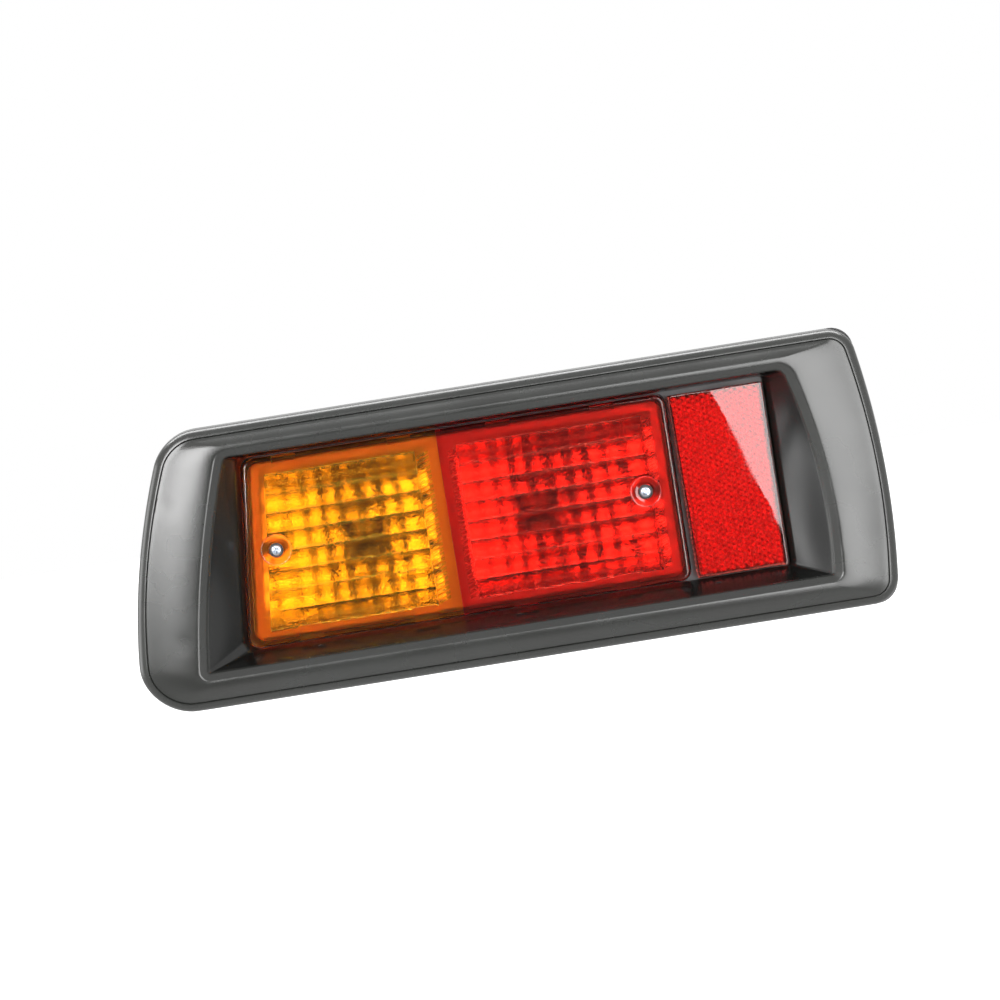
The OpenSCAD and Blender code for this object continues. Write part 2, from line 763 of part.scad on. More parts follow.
module stop_contact_springs() {
    contact_spring(stop_bulb_x, [-2.8, 2.8], 2.4);
}

module amber_terminals() {
    terminals(amber_bulb_x, amber_blades);
}

module stop_terminals() {
    terminals(stop_bulb_x, stop_blades);
}

bezel();
bezel_gasket();
mounting_studs();
housing();
housing_gasket();
housing_screws();
amber_lens();
red_lens();
lens_gasket();
lens_screws();
lens_screw_seals();
amber_reflector();
red_reflector();
reflector_screws();
reflex_lens();
reflex_backing();
reflex_pad();
amber_bulb_glass();
amber_bulb_base();
amber_bulb_filament();
amber_bulb_tip();
stop_bulb_glass();
stop_bulb_base();
stop_bulb_filaments();
stop_bulb_tips();
amber_holder();
stop_holder();
amber_holder_seal();
stop_holder_seal();
amber_socket_shell();
stop_socket_shell();
amber_contact_plate();
stop_contact_plate();
amber_contact_spring();
stop_contact_springs();
amber_terminals();
stop_terminals();
breather_caps();
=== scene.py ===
"""Looks of the trailer tail light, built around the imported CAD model."""

import json
import math

import bmesh
import bpy
import numpy as np
from mathutils import Matrix, Vector


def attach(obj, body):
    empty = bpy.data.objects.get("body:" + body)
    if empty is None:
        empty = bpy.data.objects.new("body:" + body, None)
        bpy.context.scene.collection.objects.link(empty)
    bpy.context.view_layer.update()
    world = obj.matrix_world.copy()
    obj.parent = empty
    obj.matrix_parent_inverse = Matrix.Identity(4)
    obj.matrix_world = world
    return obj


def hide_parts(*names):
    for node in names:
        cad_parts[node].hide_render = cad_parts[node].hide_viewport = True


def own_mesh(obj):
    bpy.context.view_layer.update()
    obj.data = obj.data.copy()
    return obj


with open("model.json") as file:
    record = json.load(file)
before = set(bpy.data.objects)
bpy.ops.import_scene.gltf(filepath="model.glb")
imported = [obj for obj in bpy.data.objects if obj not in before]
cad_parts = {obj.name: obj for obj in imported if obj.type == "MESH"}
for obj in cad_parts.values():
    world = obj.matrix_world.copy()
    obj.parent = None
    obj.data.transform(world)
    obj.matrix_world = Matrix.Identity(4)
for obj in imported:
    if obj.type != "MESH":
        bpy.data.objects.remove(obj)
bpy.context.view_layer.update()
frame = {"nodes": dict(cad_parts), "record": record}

MM = 0.001             # every size below is in millimetres and is scaled as its mesh is made

# ---- Sizes, the same as the CAD model's ----

HALF_H = 69.5
OUTER = dict(quad=[(-191.8, -HALF_H), (187.1, -HALF_H), (181.3, HALF_H), (-160.9, HALF_H)],
             radii=[22, 12, 12, 20], bow=(7.3, 5.9))
LIP = dict(quad=[(-159.8, -53.6), (159.4, -53.6), (148.4, 56.1), (-134.0, 56.1)],
           radii=[4, 4, 7, 6], bow=(3.3, 5.4))
WINDOW = dict(quad=[(-136.4, -44.4), (137.4, -44.4), (137.4, 51.0), (-125.5, 51.0)],
              radii=[6, 2, 2, 6], bow=(0, 0))
SEAM = -27.3
AMBER = dict(quad=[(-135.4, -43.4), (SEAM - 0.15, -43.4), (SEAM - 0.15, 50), (-124.5, 50)],
             radii=[6, 6, 6, 6], bow=(0, 0))
RED = dict(quad=[(SEAM + 0.15, -43.4), (87.4, -43.4), (87.4, 50), (SEAM + 0.15, 50)],
           radii=[6, 6, 6, 6], bow=(0, 0))
PAIR = dict(quad=[AMBER["quad"][0], RED["quad"][1], RED["quad"][2], AMBER["quad"][3]],
            radii=[5, 5, 5, 5], bow=(0, 0))
REFLEX = dict(quad=[(90.6, -43.7), (136.4, -43.7), (136.4, 48.6), (88.9, 48.6)],
              radii=[1, 1, 1, 1], bow=(0, 0))

# Depths are along Y from the panel's face, and the lenses face -Y.
LIP_FRONT = 16         # how far the lip of the recess stands in front of the panel
FOOT_Y = -2            # rear edge of the bezel
WINDOW_BACK = 6.5      # rear edge of the recess walls
WALL = 2.5             # thickness of the bezel
LENS_Y = 2             # front of the lens
LENS_WALL = 2.5
SKIRT = 2              # thickness of the skirt round the lens
SKIRT_END = 12.5
RIM_Y = 12.6           # front of the reflectors' rims
LEDGE_Y = 14           # ledge of the housing that carries them
FLOOR_Y = 46           # inside of the housing's rear wall
LAMP_Z = 3.3           # height of the bulbs and of the lens screws
AMBER_BULB = (-71, LAMP_Z)
STOP_BULB = (18, LAMP_Z)
AMBER_SCREW = (-114.6, LAMP_Z)
RED_SCREW = (71.4, LAMP_Z)
STUDS = [(x, z) for x in (-164, 164) for z in (-34, 34)]
HOUSING_SCREWS = [(x, z) for x in (-100, 0, 100) for z in (-50.2, 56.8)]

# ---- Outlines ----


def inset(quad, d):
    """Corners of a four-sided outline moved inwards by d."""
    out = []
    for i in range(4):
        v = Vector(quad[i])
        u = (Vector(quad[i - 1]) - v).normalized()
        w = (Vector(quad[(i + 1) % 4]) - v).normalized()
        out.append(v + (u + w) * d / math.sqrt(1 - u.dot(w) ** 2))
    return out


def corner(quad, i, r, steps):
    """Points of the arc of radius r that rounds corner i."""
    v = quad[i]
    u = (quad[i - 1] - v).normalized()
    w = (quad[(i + 1) % 4] - v).normalized()
    half = math.acos(u.dot(w)) / 2
    c = v + (u + w).normalized() * r / math.sin(half)
    s = v + u * r / math.tan(half) - c
    e = v + w * r / math.tan(half) - c
    a = math.atan2(s.y, s.x)
    turn = (math.atan2(e.y, e.x) - a + math.pi) % (2 * math.pi) - math.pi
    return [c + r * Vector((math.cos(a + turn * k / steps), math.sin(a + turn * k / steps)))
            for k in range(steps + 1)]


def ring(shape, d=0.0, arc=12, side=20):
    """Closed outline of (x, z) points, moved in by d; every ring has the same number of points."""
    quad = inset(shape["quad"], d)
    radii = [max(r - d, 0.6) for r in shape["radii"]]
    low, high = quad[0].y, quad[2].y
    arcs = [corner(quad, i, radii[i], arc) for i in range(4)]
    points = []
    for i in range(4):
        start, end = arcs[i][-1], arcs[(i + 1) % 4][0]
        points += arcs[i] + [start.lerp(end, k / side) for k in range(1, side)]
    bow_left, bow_right = shape["bow"]
    out = []
    for p in points:
        s = (2 * p.y - low - high) / (high - low)
        out.append((p.x + (-bow_left if p.x < 0 else bow_right) * (1 - s * s), p.y))
    return np.array(out)


# ---- Mesh helpers ----


def finish_mesh(name, bm):
    bmesh.ops.recalc_face_normals(bm, faces=bm.faces)
    mesh = bpy.data.meshes.new(name)
    bm.to_mesh(mesh)
    bm.free()
    obj = bpy.data.objects.new(name, mesh)
    bpy.context.collection.objects.link(obj)
    return obj


def solid(make, *args):
    """An unfinished solid made by one of the add_ functions."""
    bm = bmesh.new()
    make(bm, *args)
    return finish_mesh("solid", bm)


def combine(obj, operation, *tools):
    """Unites with, cuts by or keeps what is common with each tool, which is used up."""
    for tool in tools:
        modifier = obj.modifiers.new("boolean", "BOOLEAN")
        modifier.operation = operation
        modifier.solver = "MANIFOLD"
        modifier.object = tool
        apply_modifiers(obj)
        bpy.data.objects.remove(tool)
    return obj


def apply_modifiers(obj):
    depsgraph = bpy.context.evaluated_depsgraph_get()
    mesh = bpy.data.meshes.new_from_object(obj.evaluated_get(depsgraph))
    obj.modifiers.clear()
    obj.data = mesh


def adopt(obj, name, body, slot, looks, *replaced, sharp=35):
    """Names a finished solid, gives it its materials and lets it ride on its body."""
    obj.name = name
    obj.data.name = name
    if looks:
        obj.data.materials.clear()
        for look in looks:
            obj.data.materials.append(look)
    obj.data.shade_smooth()
    obj.data.set_sharp_from_angle(angle=math.radians(sharp))
    obj.modifiers.new("normals", "WEIGHTED_NORMAL").keep_sharp = True
    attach(obj, body)
    if replaced:
        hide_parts(*replaced)
    return obj


def add_loft(bm, rings, closed):
    """Quads between rings of 3-D points in millimetres; closed joins the last ring to the first."""
    rows = [[bm.verts.new(Vector(p) * MM) for p in r] for r in rings]
    pairs = list(zip(rows, rows[1:])) + ([(rows[-1], rows[0])] if closed else [])
    for a, b in pairs:
        n = len(a)
        for i in range(n):
            bm.faces.new((a[i], a[(i + 1) % n], b[(i + 1) % n], b[i]))
    return rows


def at_depth(outline, y):
    return [(p[0], y, p[1]) for p in outline]


def add_capped(bm, rings):
    """Closed solid through rings of 3-D points, with a flat cap at each end."""
    rows = add_loft(bm, rings, False)
    bm.faces.new(rows[0])
    bm.faces.new(list(reversed(rows[-1])))


def add_stack(bm, shape, rows):
    """Closed solid through insets of one outline; rows are (inset, depth)."""
    add_capped(bm, [at_depth(ring(shape, d), y) for d, y in rows])


def add_prism(bm, outline, y0, y1):
    """Closed solid that carries one (x, z) outline along Y."""
    add_capped(bm, [at_depth(outline, y0), at_depth(outline, y1)])


def add_box(bm, low, high):
    (x0, y0, z0), (x1, y1, z1) = low, high
    add_prism(bm, [(x0, z0), (x1, z0), (x1, z1), (x0, z1)], y0, y1)


def sides_of(axis):
    """Two directions square to an axis and to each other."""
    across = Vector((0, 0, 1)) if abs(axis.z) < 0.9 else Vector((1, 0, 0))
    u = axis.cross(across).normalized()
    return u, axis.cross(u).normalized()


def add_turned(bm, place, profile, axis=(0, 1, 0), segments=48):
    """Solid of revolution about a line through place; the profile's points are (radius, distance)."""
    axis = Vector(axis)
    u, v = sides_of(axis)
    place = Vector(place)
    rows = []
    for r, t in profile:
        turns = [0] if r < 1e-6 else [2 * math.pi * k / segments for k in range(segments)]
        rows.append([bm.verts.new((place + axis * t + r * (math.cos(a) * u + math.sin(a) * v)) * MM)
                     for a in turns])
    ends_on_axis = profile[0][0] < 1e-6 and profile[-1][0] < 1e-6
    for a, b in zip(rows, rows[1:] + ([] if ends_on_axis else [rows[0]])):
        for i in range(segments):
            j = (i + 1) % segments
            face = [a[i % len(a)], a[j % len(a)], b[j % len(b)], b[i % len(b)]]
            face = [w for k, w in enumerate(face) if w not in face[:k]]
            if len(face) > 2:
                bm.faces.new(face)


def add_rod(bm, x, z, r, y0, y1):
    """Round bar along Y."""
    add_turned(bm, (x, 0, z), [(0, y0), (r, y0), (r, y1), (0, y1)])


def add_sheet(bm, grid):
    """Quads between the neighbours of a grid of vertices."""
    for a, b in zip(grid, grid[1:]):
        for i in range(len(a) - 1):
            bm.faces.new((a[i], a[i + 1], b[i + 1], b[i]))


def add_sides(bm, front, back):
    """Walls between the edges of two grids of vertices."""
    for edge in (lambda g: g[0], lambda g: g[-1], lambda g: [r[0] for r in g], lambda g: [r[-1] for r in g]):
        add_sheet(bm, [edge(front), edge(back)])


def add_thread(bm, x, z, r, y0, y1, pitch, depth, point=1.0, segments=28):
    """Threaded bar along Y that tapers at both ends."""
    per_turn = 6
    count = int((y1 - y0) / pitch * per_turn)
    rings = []
    for j in range(count + 1):
        y = y0 + (y1 - y0) * j / count
        taper = min(1.0, (y - y0 + 0.05) / point, (y1 - y + 0.05) / point)
        loop = []
        for k in range(segments):
            phase = ((y - y0) / pitch - k / segments) % 1.0
            radius = r - depth * min(1.0, 1.25 * abs(2 * phase - 1)) - (1 - taper) * depth * 1.4
            a = 2 * math.pi * k / segments
            loop.append((x + radius * math.cos(a), y, z + radius * math.sin(a)))
        rings.append(loop)
    add_capped(bm, rings)


def add_wire(bm, points, r, sides=8):
    """Round wire swept along a line of 3-D points."""
    points = [Vector(p) for p in points]
    u = None
    rings = []
    for i, p in enumerate(points):
        along = (points[min(i + 1, len(points) - 1)] - points[max(i - 1, 0)]).normalized()
        u = sides_of(along)[0] if u is None else (u - along * u.dot(along)).normalized()
        v = along.cross(u)
        rings.append([p + r * (math.cos(2 * math.pi * k / sides) * u
                               + math.sin(2 * math.pi * k / sides) * v) for k in range(sides)])
    add_capped(bm, rings)


def helix(place, axis, r, length, turns, steps=14):
    axis = Vector(axis)
    u, v = sides_of(axis)
    count = int(turns * steps)
    return [Vector(place) + axis * (length * k / count)
            + r * (math.cos(2 * math.pi * k / steps) * u + math.sin(2 * math.pi * k / steps) * v)
            for k in range(count + 1)]


# ---- Materials ----


def principled(name, color, roughness, **sockets):
    m = bpy.data.materials.new(name)
    m.use_nodes = True
    shader = m.node_tree.nodes["Principled BSDF"]
    shader.inputs["Base Color"].default_value = (*color, 1)
    shader.inputs["Roughness"].default_value = roughness
    for key, value in sockets.items():
        shader.inputs[key.replace("_", " ")].default_value = value
    return m


def noise(m, scale, detail=3, stretch=(1, 1, 1), kind="ShaderNodeTexNoise"):
    """A procedural texture in the row frame's metres, and its node."""
    nodes, links = m.node_tree.nodes, m.node_tree.links
    coord = nodes.new("ShaderNodeTexCoord")
    mapping = nodes.new("ShaderNodeMapping")
    mapping.inputs["Scale"].default_value = stretch
    texture = nodes.new(kind)
    texture.inputs["Scale"].default_value = scale
    if "Detail" in texture.inputs:
        texture.inputs["Detail"].default_value = detail
    links.new(coord.outputs["Object"], mapping.inputs["Vector"])
    links.new(mapping.outputs["Vector"], texture.inputs["Vector"])
    return texture


def bump(m, texture, strength, distance):
    """Adds a texture's relief to what is already on the shader's normal."""
    nodes, links = m.node_tree.nodes, m.node_tree.links
    node = nodes.new("ShaderNodeBump")
    node.inputs["Strength"].default_value = strength
    node.inputs["Distance"].default_value = distance
    links.new(texture.outputs[0], node.inputs["Height"])
    shader = nodes["Principled BSDF"]
    if shader.inputs["Normal"].links:
        links.new(shader.inputs["Normal"].links[0].from_socket, node.inputs["Normal"])
    links.new(node.outputs["Normal"], shader.inputs["Normal"])


def ramp(m, texture, low, high, socket, start=0.35, end=0.65):
    """Drives a shader socket between two colours or numbers by a texture."""
    nodes, links = m.node_tree.nodes, m.node_tree.links
    node = nodes.new("ShaderNodeValToRGB")
    as_color = lambda v: (*v, 1) if isinstance(v, tuple) else (v, v, v, 1)
    node.color_ramp.elements[0].position = start
    node.color_ramp.elements[1].position = end
    node.color_ramp.elements[0].color = as_color(low)
    node.color_ramp.elements[1].color = as_color(high)
    links.new(texture.outputs[0], node.inputs["Fac"])
    links.new(node.outputs["Color"], nodes["Principled BSDF"].inputs[socket])


def make_bezel_plastic(name, roughness, grain, shade=1.0, ior=1.5):
    m = principled(name, (0.011, 0.0115, 0.0105), roughness, IOR=ior)
    bump(m, noise(m, 1800, 2), grain, 0.0002)
    bump(m, noise(m, 60, 3), 0.4 * grain, 0.001)
    ramp(m, noise(m, 25, 4), 0.85 * roughness, 1.15 * roughness, "Roughness")
    # shade scales the base colour; below 1 it paints shade into the plastic.
    ramp(m, noise(m, 9, 5), tuple(shade * v for v in (0.0095, 0.010, 0.009)),
         tuple(shade * v for v in (0.013, 0.0135, 0.0125)), "Base Color")
    return m


def make_black_plastic(name, color, roughness):
    m = principled(name, color, roughness)
    bump(m, noise(m, 900, 3), 0.2, 0.0002)
    ramp(m, noise(m, 40, 4), roughness - 0.08, roughness + 0.08, "Roughness")
    return m


def make_rubber(name, grain, strength):
    m = principled(name, (0.012, 0.012, 0.012), 0.75)
    bump(m, noise(m, grain, 2, kind="ShaderNodeTexVoronoi"), strength, 0.0003)
    ramp(m, noise(m, 300, 4), (0.009, 0.009, 0.009), (0.02, 0.02, 0.02), "Base Color")
    return m


def make_metal(name, color, roughness, scratch=0.06):
    m = principled(name, color, roughness, Metallic=1.0)
    ramp(m, noise(m, 700, 4), roughness * 0.7, roughness * 1.4, "Roughness")
    bump(m, noise(m, 1500, 3, (1, 0.2, 1)), scratch, 0.0001)
    return m


def make_tinted(name, color, roughness=0.0):
    m = principled(name, color, roughness, Transmission_Weight=1.0, IOR=1.49)
    ramp(m, noise(m, 70, 5), roughness, roughness + 0.025, "Roughness")
    bump(m, noise(m, 35, 2), 0.03, 0.0005)
    return m


def make_stipple(name, color):
    m = make_tinted(name, color, 0.02)
    bump(m, noise(m, 900, 4, (0.5, 1, 1)), 0.8, 0.0005)
    return m


def make_mirror(name, shade, roughness):
    m = principled(name, (shade, shade, 1.02 * shade), roughness, Metallic=1.0)
    bump(m, noise(m, 160, 3), 0.35, 0.0008)
    ramp(m, noise(m, 500, 4), roughness * 0.6, roughness * 1.5, "Roughness")
    return m


AMBER_TINT = (0.8, 0.42, 0.04)
RED_TINT = (0.76, 0.08, 0.05)

MAT = dict(
    bezel=make_bezel_plastic("bezel_plastic", 0.27, 0.1),
    # Painted shade: a glossier copy of the bezel plastic with its base colour darkened to 0.3, for the recess
    # walls.
    bezel_wall=make_bezel_plastic("bezel_plastic_gloss_painted_shade", 0.2, 0.03, 0.3, 1.48),
    housing=make_black_plastic("housing_plastic", (0.02, 0.02, 0.021), 0.4),
    holder=make_black_plastic("holder_plastic", (0.035, 0.035, 0.038), 0.45),
    foam=make_rubber("foam_rubber", 1500, 0.6),
    seal=make_rubber("seal_rubber", 2500, 0.15),
    steel=make_metal("zinc_steel", (0.5, 0.54, 0.6), 0.3),
    brass=make_metal("lamp_brass", (0.82, 0.64, 0.34), 0.22),
    terminal=make_metal("terminal_brass", (0.85, 0.74, 0.46), 0.3),
    spring=make_metal("spring_steel", (0.68, 0.69, 0.71), 0.3),
    solder=make_metal("solder", (0.6, 0.61, 0.63), 0.38, 0.2),
    mirror=make_mirror("metallised_plastic", 0.56, 0.08),
    mirror_rim=make_mirror("metallised_plastic_satin", 0.6, 0.5),
    wire=make_metal("lamp_wire", (0.55, 0.55, 0.58), 0.3),
    fibre=make_black_plastic("contact_fibre", (0.2, 0.1, 0.045), 0.7),
    amber=make_tinted("amber_acrylic", AMBER_TINT),
    amber_inner=make_stipple("amber_acrylic_stipple", AMBER_TINT),
    red=make_tinted("red_acrylic", RED_TINT),
    red_inner=make_stipple("red_acrylic_stipple", RED_TINT),
    amber_edge=make_tinted("amber_acrylic_edge", (0.95, 0.2, 0.1), 0.3),
    red_edge=make_tinted("red_acrylic_edge", (0.75, 0.1, 0.1), 0.3),
    reflex=make_tinted("reflex_acrylic", (0.95, 0.2, 0.15)),
    # Painted light and shade: three copies of one red metal, lightest to darkest, one for each facet
    # direction of the reflex's cube corners.
    prism_0=make_metal("reflex_prisms_painted_light", (0.99, 0.4, 0.38), 0.36, 0.0),
    prism_1=make_metal("reflex_prisms_painted_mid_shade", (0.85, 0.26, 0.25), 0.36, 0.0),
    prism_2=make_metal("reflex_prisms_painted_dark_shade", (0.5, 0.1, 0.1), 0.36, 0.0),
    reflex_back=make_black_plastic("reflex_back", (0.15, 0.01, 0.01), 0.4),
    glass=make_tinted("clear_glass", (1, 1, 1)),
)

SLOT_LOOK = dict(
    bezel_plastic="bezel", foam_rubber="foam", zinc_steel="steel", housing_plastic="housing",
    amber_acrylic="amber", red_acrylic="red", seal_rubber="seal", metallised_plastic="mirror",
    reflex_acrylic="reflex", reflex_back="reflex_back", clear_glass="glass", brass="brass",
    lamp_wire="wire", solder="solder", holder_plastic="holder", contact_fibre="fibre",
    spring_steel="spring", terminal_brass="terminal")

for row in frame["record"]["subparts"]:
    node = frame["nodes"][row["node"]]
    look = MAT[SLOT_LOOK[row["material_slot"]]]
    node.data.materials.clear()
    node.data.materials.append(look)
    weld = node.modifiers.new("weld", "WELD")
    weld.merge_threshold = 0.00001
    bevel = node.modifiers.new("bevel", "BEVEL")
    bevel.width = 0.00025
    bevel.segments = 2
    bevel.angle_limit = math.radians(35)
    bevel.harden_normals = True


# ---- Stage, light and camera ----


def make_camera():
    centre = Vector((-0.0008, 0, 0.0107))
    distance, elevation, roll = 1.3, math.radians(3.5), math.radians(-9.0)
    cam = bpy.data.objects.new("camera", bpy.data.cameras.new("camera"))
    bpy.context.collection.objects.link(cam)
    cam.location = centre + distance * Vector((0, -math.cos(elevation), math.sin(elevation)))
    look = (centre - cam.location).to_track_quat("-Z", "Y").to_matrix().to_4x4()
    cam.matrix_world = Matrix.Translation(cam.location) @ look @ Matrix.Rotation(roll, 4, "Z")
    cam.data.sensor_width = 36
    cam.data.lens = 36 * distance / 0.496
    cam.data.clip_start = 0.01
    bpy.context.scene.camera = cam


def softbox(name, place, target, size, power, roll=0.0):
    data = bpy.data.lights.new(name, "AREA")
    data.shape = "RECTANGLE"
    data.size, data.size_y = size
    data.energy = power
    light = bpy.data.objects.new(name, data)
    bpy.context.collection.objects.link(light)
    place = Vector(place)
    turn = (Vector(target) - place).to_track_quat("-Z", "Y").to_matrix().to_4x4()
    light.matrix_world = Matrix.Translation(place) @ turn @ Matrix.Rotation(roll, 4, "Z")


def make_world():
    """White all round behind the lamp, dim in front of it, and plain white to the camera."""
    world = bpy.data.worlds.new("studio")
    bpy.context.scene.world = world
    world.use_nodes = True
    nodes, links = world.node_tree.nodes, world.node_tree.links
    background = nodes["Background"]
    background.inputs["Color"].default_value = (1, 1, 1, 1)
    coord = nodes.new("ShaderNodeTexCoord")
    split = nodes.new("ShaderNodeSeparateXYZ")
    fade = nodes.new("ShaderNodeMapRange")
    fade.inputs["From Min"].default_value = -0.95
    fade.inputs["From Max"].default_value = -0.6
    fade.inputs["To Min"].default_value = 0.12
    fade.inputs["To Max"].default_value = 1.1
    path = nodes.new("ShaderNodeLightPath")
    mix = nodes.new("ShaderNodeMix")
    mix.inputs["B"].default_value = 1.0
    links.new(coord.outputs["Generated"], split.inputs["Vector"])
    links.new(split.outputs["Y"], fade.inputs["Value"])
    links.new(path.outputs["Is Camera Ray"], mix.inputs["Factor"])
    links.new(fade.outputs["Result"], mix.inputs["A"])
    links.new(mix.outputs["Result"], background.inputs["Strength"])


def make_floor():
    bm = bmesh.new()
    bmesh.ops.create_grid(bm, x_segments=8, y_segments=8, size=6)
    mesh = bpy.data.meshes.new("floor")
    bm.to_mesh(mesh)
    bm.free()
    floor = bpy.data.objects.new("floor", mesh)
    bpy.context.collection.objects.link(floor)
    floor.location = (0, 0, -0.36)
    floor.visible_glossy = False
    floor.visible_transmission = False
    m = principled("floor_white", (0.9, 0.9, 0.9), 0.6)
    m.node_tree.nodes["Principled BSDF"].inputs["Emission Color"].default_value = (1, 1, 1, 1)
    m.node_tree.nodes["Principled BSDF"].inputs["Emission Strength"].default_value = 0.6
    mesh.materials.append(m)


make_camera()
make_world()
make_floor()
softbox("key_right", (0.6465, -1.25, 0.148), (0.6465, 0, 0.148), (0.9, 1.4), 37, math.radians(18.2))
softbox("left", (-0.68, -1.1, 0.45), (-0.68, 0, 0.45), (0.56, 0.9), 28)
softbox("overhead", (0, 0.36, 1.1), (0, 0, 0), (2.2, 0.45), 36)
softbox("side", (-1.25, 0.05, 0.1), (0, 0, 0), (0.7, 0.7), 6)
bpy.context.scene.view_settings.view_transform = "Standard"

# ---- Bezel ----


def build_bezel():
    """Hollow moulding through insets of its rim, lip and window, with bosses behind it."""
    rim, lip, window = (lambda d: ring(OUTER, d)), (lambda d: ring(LIP, d)), (lambda d: ring(WINDOW, d))
    roll_r, roll_y, crease_d, crease_y = 5, -7, 5.4, -12.1
    lip_roll, bevel, land = 1.8, 2.9, 9.8
    crown = lambda s: crease_y - (LIP_FRONT + crease_y) * math.sin(math.pi / 2 * s)
    mid_wall = 0.55 * lip(bevel + 0.3) + 0.45 * window(0)
    rows = [(rim(0), FOOT_Y, 1), (rim(0.1), FOOT_Y - 0.6, 0)]
    rows += [(rim(0.4 + roll_r * (1 - math.cos(math.radians(t)))),
              roll_y - roll_r * math.sin(math.radians(t)), 0) for t in (0, 18, 36, 54, 72)]
    rows += [(rim(crease_d - 0.75), crease_y + 0.15, 0.6), (rim(crease_d - 0.35), crease_y + 0.75, 0.6),
             (rim(crease_d), crease_y, 0.6)]
    rows += [((1 - s) * rim(crease_d + 0.4) + s * lip(-lip_roll), crown(s), 0)
             for s in (0.06, 0.2, 0.4, 0.6, 0.8, 1)]
    rows += [(lip(-lip_roll / 3), 0.15 - LIP_FRONT, 0), (lip(0.2), 0.8 - LIP_FRONT, 0.3),
             (lip(bevel - 0.3), 2.7 - LIP_FRONT, 0.3), (lip(bevel + 0.2), 3.6 - LIP_FRONT, 0.3)]
    wall_start = len(rows) - 1
    rows += [(mid_wall, -5, 0), (window(0.0), WINDOW_BACK - 1, 0), (window(0), WINDOW_BACK, 1)]
    wall_end = len(rows) - 1
    rows += [(window(-land), WINDOW_BACK, 1), (window(-land), WINDOW_BACK - WALL, 1),
             (window(-WALL), WINDOW_BACK - WALL, 0.5),
             (mid_wall + window(-WALL) - window(0), -4, 0), (lip(bevel - WALL - 0.2), 5 - LIP_FRONT, 0),
             (lip(-0.8), WALL + 0.2 - LIP_FRONT, 0),
             (0.6 * rim(crease_d) + 0.4 * lip(0), crown(0.4) + WALL, 0),
             (rim(crease_d + 0.8), crease_y + WALL, 0), (rim(0.4 + WALL), roll_y + 0.6, 0),
             (rim(WALL), FOOT_Y - 0.6, 0), (rim(WALL), FOOT_Y, 1)]
    bm = bmesh.new()
    loops = add_loft(bm, [at_depth(outline, y) for outline, y, _ in rows], True)
    count = len(loops[0])
    # Faces of the recess walls take the second material: the bezel plastic darkened as painted shade.
    for k, face in enumerate(bm.faces):
        face.material_index = 1 if wall_start <= k // count < wall_end else 0
    crease = bm.edges.layers.float.new("crease_edge")
    for loop, (_, _, sharp) in zip(loops, rows):
        for i in range(count):
            bm.edges.get((loop[i], loop[(i + 1) % count]))[crease] = sharp
    obj = finish_mesh("bezel_moulding", bm)
    obj.data.materials.append(MAT["bezel"])
    obj.data.materials.append(MAT["bezel_wall"])
    obj.modifiers.new("smooth", "SUBSURF").levels = 2
    apply_modifiers(obj)
    sink_depth, sink_spread = 0.12, 30
    for x, z in STUDS:
        for v in obj.data.vertices:
            near = ((v.co.x / MM - x) ** 2 + (v.co.z / MM - z) ** 2) / sink_spread
            if near < 6 and v.co.y / MM < -12:
                v.co.y += sink_depth * MM * math.exp(-near)
    for x, z in STUDS:
        # The upper left boss is smaller, because it stands under the crease line.
        r, front = (4.4, 4.3 - LIP_FRONT) if x < 0 < z else (4.8, 3.4 - LIP_FRONT)
        combine(obj, "UNION", solid(add_rod, x, z, r, front, -0.5))
    combine(obj, "UNION", *[solid(add_rod, x, z, 3.8, -2, WINDOW_BACK - 1) for x, z in HOUSING_SCREWS])
    combine(obj, "DIFFERENCE", *[solid(add_rod, x, z, 3.02, -9.0, 1) for x, z in STUDS],
            *[solid(add_rod, x, z, 1.75, -1, WINDOW_BACK + 1) for x, z in HOUSING_SCREWS])
    while len(obj.data.materials) > 2:
        obj.data.materials.pop(index=2)
    adopt(obj, "bezel_moulding", "root", "bezel_plastic", [], "bezel")


build_bezel()

# ---- Two-colour lens ----

FLUTE_PITCH = 9.74
FLUTE_TOP = 41.2
FLUTE_ROWS = 8
FLUTE_RADIUS = 7.0
BORDER_LEFT = 10.9
PAD_Y = 5.4            # back of the pads on the border beside the tabs


def amber_edge(z):
    """Slanted left edge of the lens at a height."""
    (x0, z0), (x1, z1) = AMBER["quad"][0], AMBER["quad"][3]
    return x0 + (x1 - x0) * (z - z0) / (z1 - z0)


def add_flutes(bm, left, right):
    """Eight convex rows on the inner face, between two edges given as functions of height."""
    steps = 8
    face_y = LENS_Y + LENS_WALL
    half = FLUTE_PITCH / 2
    edge_rise = math.sqrt(FLUTE_RADIUS ** 2 - half ** 2)
    profile = []
    for row in range(FLUTE_ROWS):
        middle = FLUTE_TOP - half - row * FLUTE_PITCH
        for k in range(steps + (row == FLUTE_ROWS - 1)):
            dz = half * (1 - 2 * k / steps)
            y = face_y + math.sqrt(FLUTE_RADIUS ** 2 - dz ** 2) - edge_rise
            profile.append((y, middle + dz))
    bottom = FLUTE_TOP - FLUTE_ROWS * FLUTE_PITCH
    profile += [(face_y - 0.5, bottom), (face_y - 0.5, FLUTE_TOP)]
    add_capped(bm, [[(left(z), y, z) for y, z in profile], [(right(z), y, z) for y, z in profile]])


def add_dashes(bm, x0, x1, lean):
    """A column of short slanted ribs on the inner face."""
    z = FLUTE_TOP - FLUTE_ROWS * FLUTE_PITCH + 0.6
    while z + lean + 1.6 < FLUTE_TOP:
        add_prism(bm, [(x0, z), (x1, z + lean), (x1, z + lean + 1.5), (x0, z + 1.5)],
                  LENS_Y + LENS_WALL - 0.4, LENS_Y + LENS_WALL + 0.9)
        z += FLUTE_PITCH / 4


